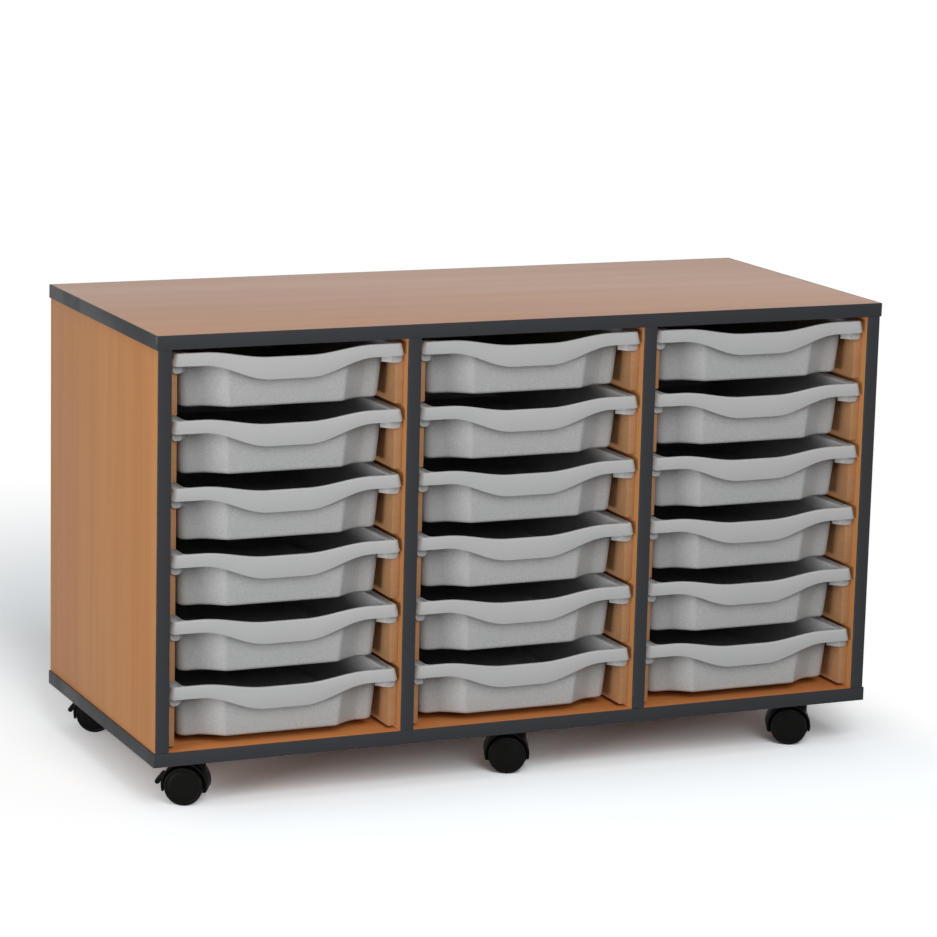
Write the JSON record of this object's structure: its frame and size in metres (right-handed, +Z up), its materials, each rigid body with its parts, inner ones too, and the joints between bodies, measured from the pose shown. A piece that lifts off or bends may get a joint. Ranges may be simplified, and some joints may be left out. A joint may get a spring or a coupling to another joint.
{
  "type": "classroom tray storage unit",
  "caption": "Low mobile storage unit in beech-faced board with dark edging, holding rows of shallow grey plastic trays that slide on runners, on swivel castors.",
  "frame": {"origin": "on the floor, under the middle of the top panel's footprint", "axes": "+X to the right seen from the front, +Y to the back, +Z up; the trays pull out towards -Y"},
  "size_m": [1.025, 0.44, 0.61],
  "materials": {
    "beech_board": "satin beech-effect melamine with a fine grain",
    "edging": "satin charcoal plastic edge band",
    "runner_board": "bare beech-coloured board",
    "tray_plastic": "light grey moulded plastic with a fine texture",
    "castor_plastic": "satin black moulded plastic",
    "castor_steel": "zinc-plated steel"
  },
  "bodies": {
    "carcass": {"base_panel": "beech_board", "base_edging": "edging", "top_panel": "beech_board", "top_edging": "edging", "back_panel": "beech_board", "left_side_panel": "beech_board", "left_side_edging": "edging", "left_divider": "beech_board", "left_divider_edging": "edging", "right_divider": "beech_board", "right_divider_edging": "edging", "right_side_panel": "beech_board", "right_side_edging": "edging", "left_bay_left_runner": "runner_board", "left_bay_right_runner": "runner_board", "middle_bay_left_runner": "runner_board", "middle_bay_right_runner": "runner_board", "right_bay_left_runner": "runner_board", "right_bay_right_runner": "runner_board", "front_left_castor_plate": "castor_steel", "front_middle_castor_plate": "castor_steel", "front_right_castor_plate": "castor_steel", "back_left_castor_plate": "castor_steel", "back_middle_castor_plate": "castor_steel", "back_right_castor_plate": "castor_steel"},
    "left_tray_1": {"left_tray_1": "tray_plastic"},
    "left_tray_2": {"left_tray_2": "tray_plastic"},
    "left_tray_3": {"left_tray_3": "tray_plastic"},
    "left_tray_4": {"left_tray_4": "tray_plastic"},
    "left_tray_5": {"left_tray_5": "tray_plastic"},
    "left_tray_6": {"left_tray_6": "tray_plastic"},
    "middle_tray_1": {"middle_tray_1": "tray_plastic"},
    "middle_tray_2": {"middle_tray_2": "tray_plastic"},
    "middle_tray_3": {"middle_tray_3": "tray_plastic"},
    "middle_tray_4": {"middle_tray_4": "tray_plastic"},
    "middle_tray_5": {"middle_tray_5": "tray_plastic"},
    "middle_tray_6": {"middle_tray_6": "tray_plastic"},
    "right_tray_1": {"right_tray_1": "tray_plastic"},
    "right_tray_2": {"right_tray_2": "tray_plastic"},
    "right_tray_3": {"right_tray_3": "tray_plastic"},
    "right_tray_4": {"right_tray_4": "tray_plastic"},
    "right_tray_5": {"right_tray_5": "tray_plastic"},
    "right_tray_6": {"right_tray_6": "tray_plastic"},
    "front_left_castor": {"front_left_castor_hood": "castor_plastic"},
    "front_left_wheels": {"front_left_castor_wheels": "castor_plastic"},
    "front_left_brake": {"front_left_brake_lever": "castor_plastic"},
    "front_middle_castor": {"front_middle_castor_hood": "castor_plastic"},
    "front_middle_wheels": {"front_middle_castor_wheels": "castor_plastic"},
    "front_right_castor": {"front_right_castor_hood": "castor_plastic"},
    "front_right_wheels": {"front_right_castor_wheels": "castor_plastic"},
    "back_left_castor": {"back_left_castor_hood": "castor_plastic"},
    "back_left_wheels": {"back_left_castor_wheels": "castor_plastic"},
    "back_left_brake": {"back_left_brake_lever": "castor_plastic"},
    "back_middle_castor": {"back_middle_castor_hood": "castor_plastic"},
    "back_middle_wheels": {"back_middle_castor_wheels": "castor_plastic"},
    "back_right_castor": {"back_right_castor_hood": "castor_plastic"},
    "back_right_wheels": {"back_right_castor_wheels": "castor_plastic"}
  },
  "joints": [
    {"name": "left_tray_1_slide", "type": "slide", "parent": "carcass", "child": "left_tray_1", "axis": [0, -1, 0], "range_m": [0, 0.44]},
    {"name": "left_tray_2_slide", "type": "slide", "parent": "carcass", "child": "left_tray_2", "axis": [0, -1, 0], "range_m": [0, 0.44]},
    {"name": "left_tray_3_slide", "type": "slide", "parent": "carcass", "child": "left_tray_3", "axis": [0, -1, 0], "range_m": [0, 0.44]},
    {"name": "left_tray_4_slide", "type": "slide", "parent": "carcass", "child": "left_tray_4", "axis": [0, -1, 0], "range_m": [0, 0.44]},
    {"name": "left_tray_5_slide", "type": "slide", "parent": "carcass", "child": "left_tray_5", "axis": [0, -1, 0], "range_m": [0, 0.44]},
    {"name": "left_tray_6_slide", "type": "slide", "parent": "carcass", "child": "left_tray_6", "axis": [0, -1, 0], "range_m": [0, 0.44]},
    {"name": "middle_tray_1_slide", "type": "slide", "parent": "carcass", "child": "middle_tray_1", "axis": [0, -1, 0], "range_m": [0, 0.44]},
    {"name": "middle_tray_2_slide", "type": "slide", "parent": "carcass", "child": "middle_tray_2", "axis": [0, -1, 0], "range_m": [0, 0.44]},
    {"name": "middle_tray_3_slide", "type": "slide", "parent": "carcass", "child": "middle_tray_3", "axis": [0, -1, 0], "range_m": [0, 0.44]},
    {"name": "middle_tray_4_slide", "type": "slide", "parent": "carcass", "child": "middle_tray_4", "axis": [0, -1, 0], "range_m": [0, 0.44]},
    {"name": "middle_tray_5_slide", "type": "slide", "parent": "carcass", "child": "middle_tray_5", "axis": [0, -1, 0], "range_m": [0, 0.44]},
    {"name": "middle_tray_6_slide", "type": "slide", "parent": "carcass", "child": "middle_tray_6", "axis": [0, -1, 0], "range_m": [0, 0.44]},
    {"name": "right_tray_1_slide", "type": "slide", "parent": "carcass", "child": "right_tray_1", "axis": [0, -1, 0], "range_m": [0, 0.44]},
    {"name": "right_tray_2_slide", "type": "slide", "parent": "carcass", "child": "right_tray_2", "axis": [0, -1, 0], "range_m": [0, 0.44]},
    {"name": "right_tray_3_slide", "type": "slide", "parent": "carcass", "child": "right_tray_3", "axis": [0, -1, 0], "range_m": [0, 0.44]},
    {"name": "right_tray_4_slide", "type": "slide", "parent": "carcass", "child": "right_tray_4", "axis": [0, -1, 0], "range_m": [0, 0.44]},
    {"name": "right_tray_5_slide", "type": "slide", "parent": "carcass", "child": "right_tray_5", "axis": [0, -1, 0], "range_m": [0, 0.44]},
    {"name": "right_tray_6_slide", "type": "slide", "parent": "carcass", "child": "right_tray_6", "axis": [0, -1, 0], "range_m": [0, 0.44]},
    {"name": "front_left_swivel", "type": "hinge", "parent": "carcass", "child": "front_left_castor", "pos_m": [-0.44, -0.185, 0.06], "axis": [0, 0, 1], "continuous": true},
    {"name": "front_left_wheel_spin", "type": "hinge", "parent": "front_left_castor", "child": "front_left_wheels", "pos_m": [-0.45399, -0.17724, 0.02479], "axis": [0.4848, 0.8746, 0], "continuous": true},
    {"name": "front_left_brake_press", "type": "hinge", "parent": "front_left_castor", "child": "front_left_brake", "pos_m": [-0.47818, -0.16384, 0.03168], "axis": [-0.4848, -0.8746, 0], "range_deg": [0, 20]},
    {"name": "front_middle_swivel", "type": "hinge", "parent": "carcass", "child": "front_middle_castor", "pos_m": [0.009, -0.185, 0.06], "axis": [0, 0, 1], "continuous": true},
    {"name": "front_middle_wheel_spin", "type": "hinge", "parent": "front_middle_castor", "child": "front_middle_wheels", "pos_m": [-0.00583, -0.17901, 0.02479], "axis": [0.3746, 0.9272, 0], "continuous": true},
    {"name": "front_right_swivel", "type": "hinge", "parent": "carcass", "child": "front_right_castor", "pos_m": [0.4335, -0.185, 0.06], "axis": [0, 0, 1], "continuous": true},
    {"name": "front_right_wheel_spin", "type": "hinge", "parent": "front_right_castor", "child": "front_right_wheels", "pos_m": [0.419, -0.17824, 0.02479], "axis": [0.4226, 0.9063, 0], "continuous": true},
    {"name": "back_left_swivel", "type": "hinge", "parent": "carcass", "child": "back_left_castor", "pos_m": [-0.44, 0.178, 0.06], "axis": [0, 0, 1], "continuous": true},
    {"name": "back_left_wheel_spin", "type": "hinge", "parent": "back_left_castor", "child": "back_left_wheels", "pos_m": [-0.45399, 0.18576, 0.02479], "axis": [0.4848, 0.8746, 0], "continuous": true},
    {"name": "back_left_brake_press", "type": "hinge", "parent": "back_left_castor", "child": "back_left_brake", "pos_m": [-0.47818, 0.19916, 0.03168], "axis": [-0.4848, -0.8746, 0], "range_deg": [0, 20]},
    {"name": "back_middle_swivel", "type": "hinge", "parent": "carcass", "child": "back_middle_castor", "pos_m": [0.009, 0.178, 0.06], "axis": [0, 0, 1], "continuous": true},
    {"name": "back_middle_wheel_spin", "type": "hinge", "parent": "back_middle_castor", "child": "back_middle_wheels", "pos_m": [-0.00562, 0.18451, 0.02479], "axis": [0.4067, 0.9135, 0], "continuous": true},
    {"name": "back_right_swivel", "type": "hinge", "parent": "carcass", "child": "back_right_castor", "pos_m": [0.4335, 0.178, 0.06], "axis": [0, 0, 1], "continuous": true},
    {"name": "back_right_wheel_spin", "type": "hinge", "parent": "back_right_castor", "child": "back_right_wheels", "pos_m": [0.41924, 0.18526, 0.02479], "axis": [0.454, 0.891, 0], "continuous": true}
  ]
}
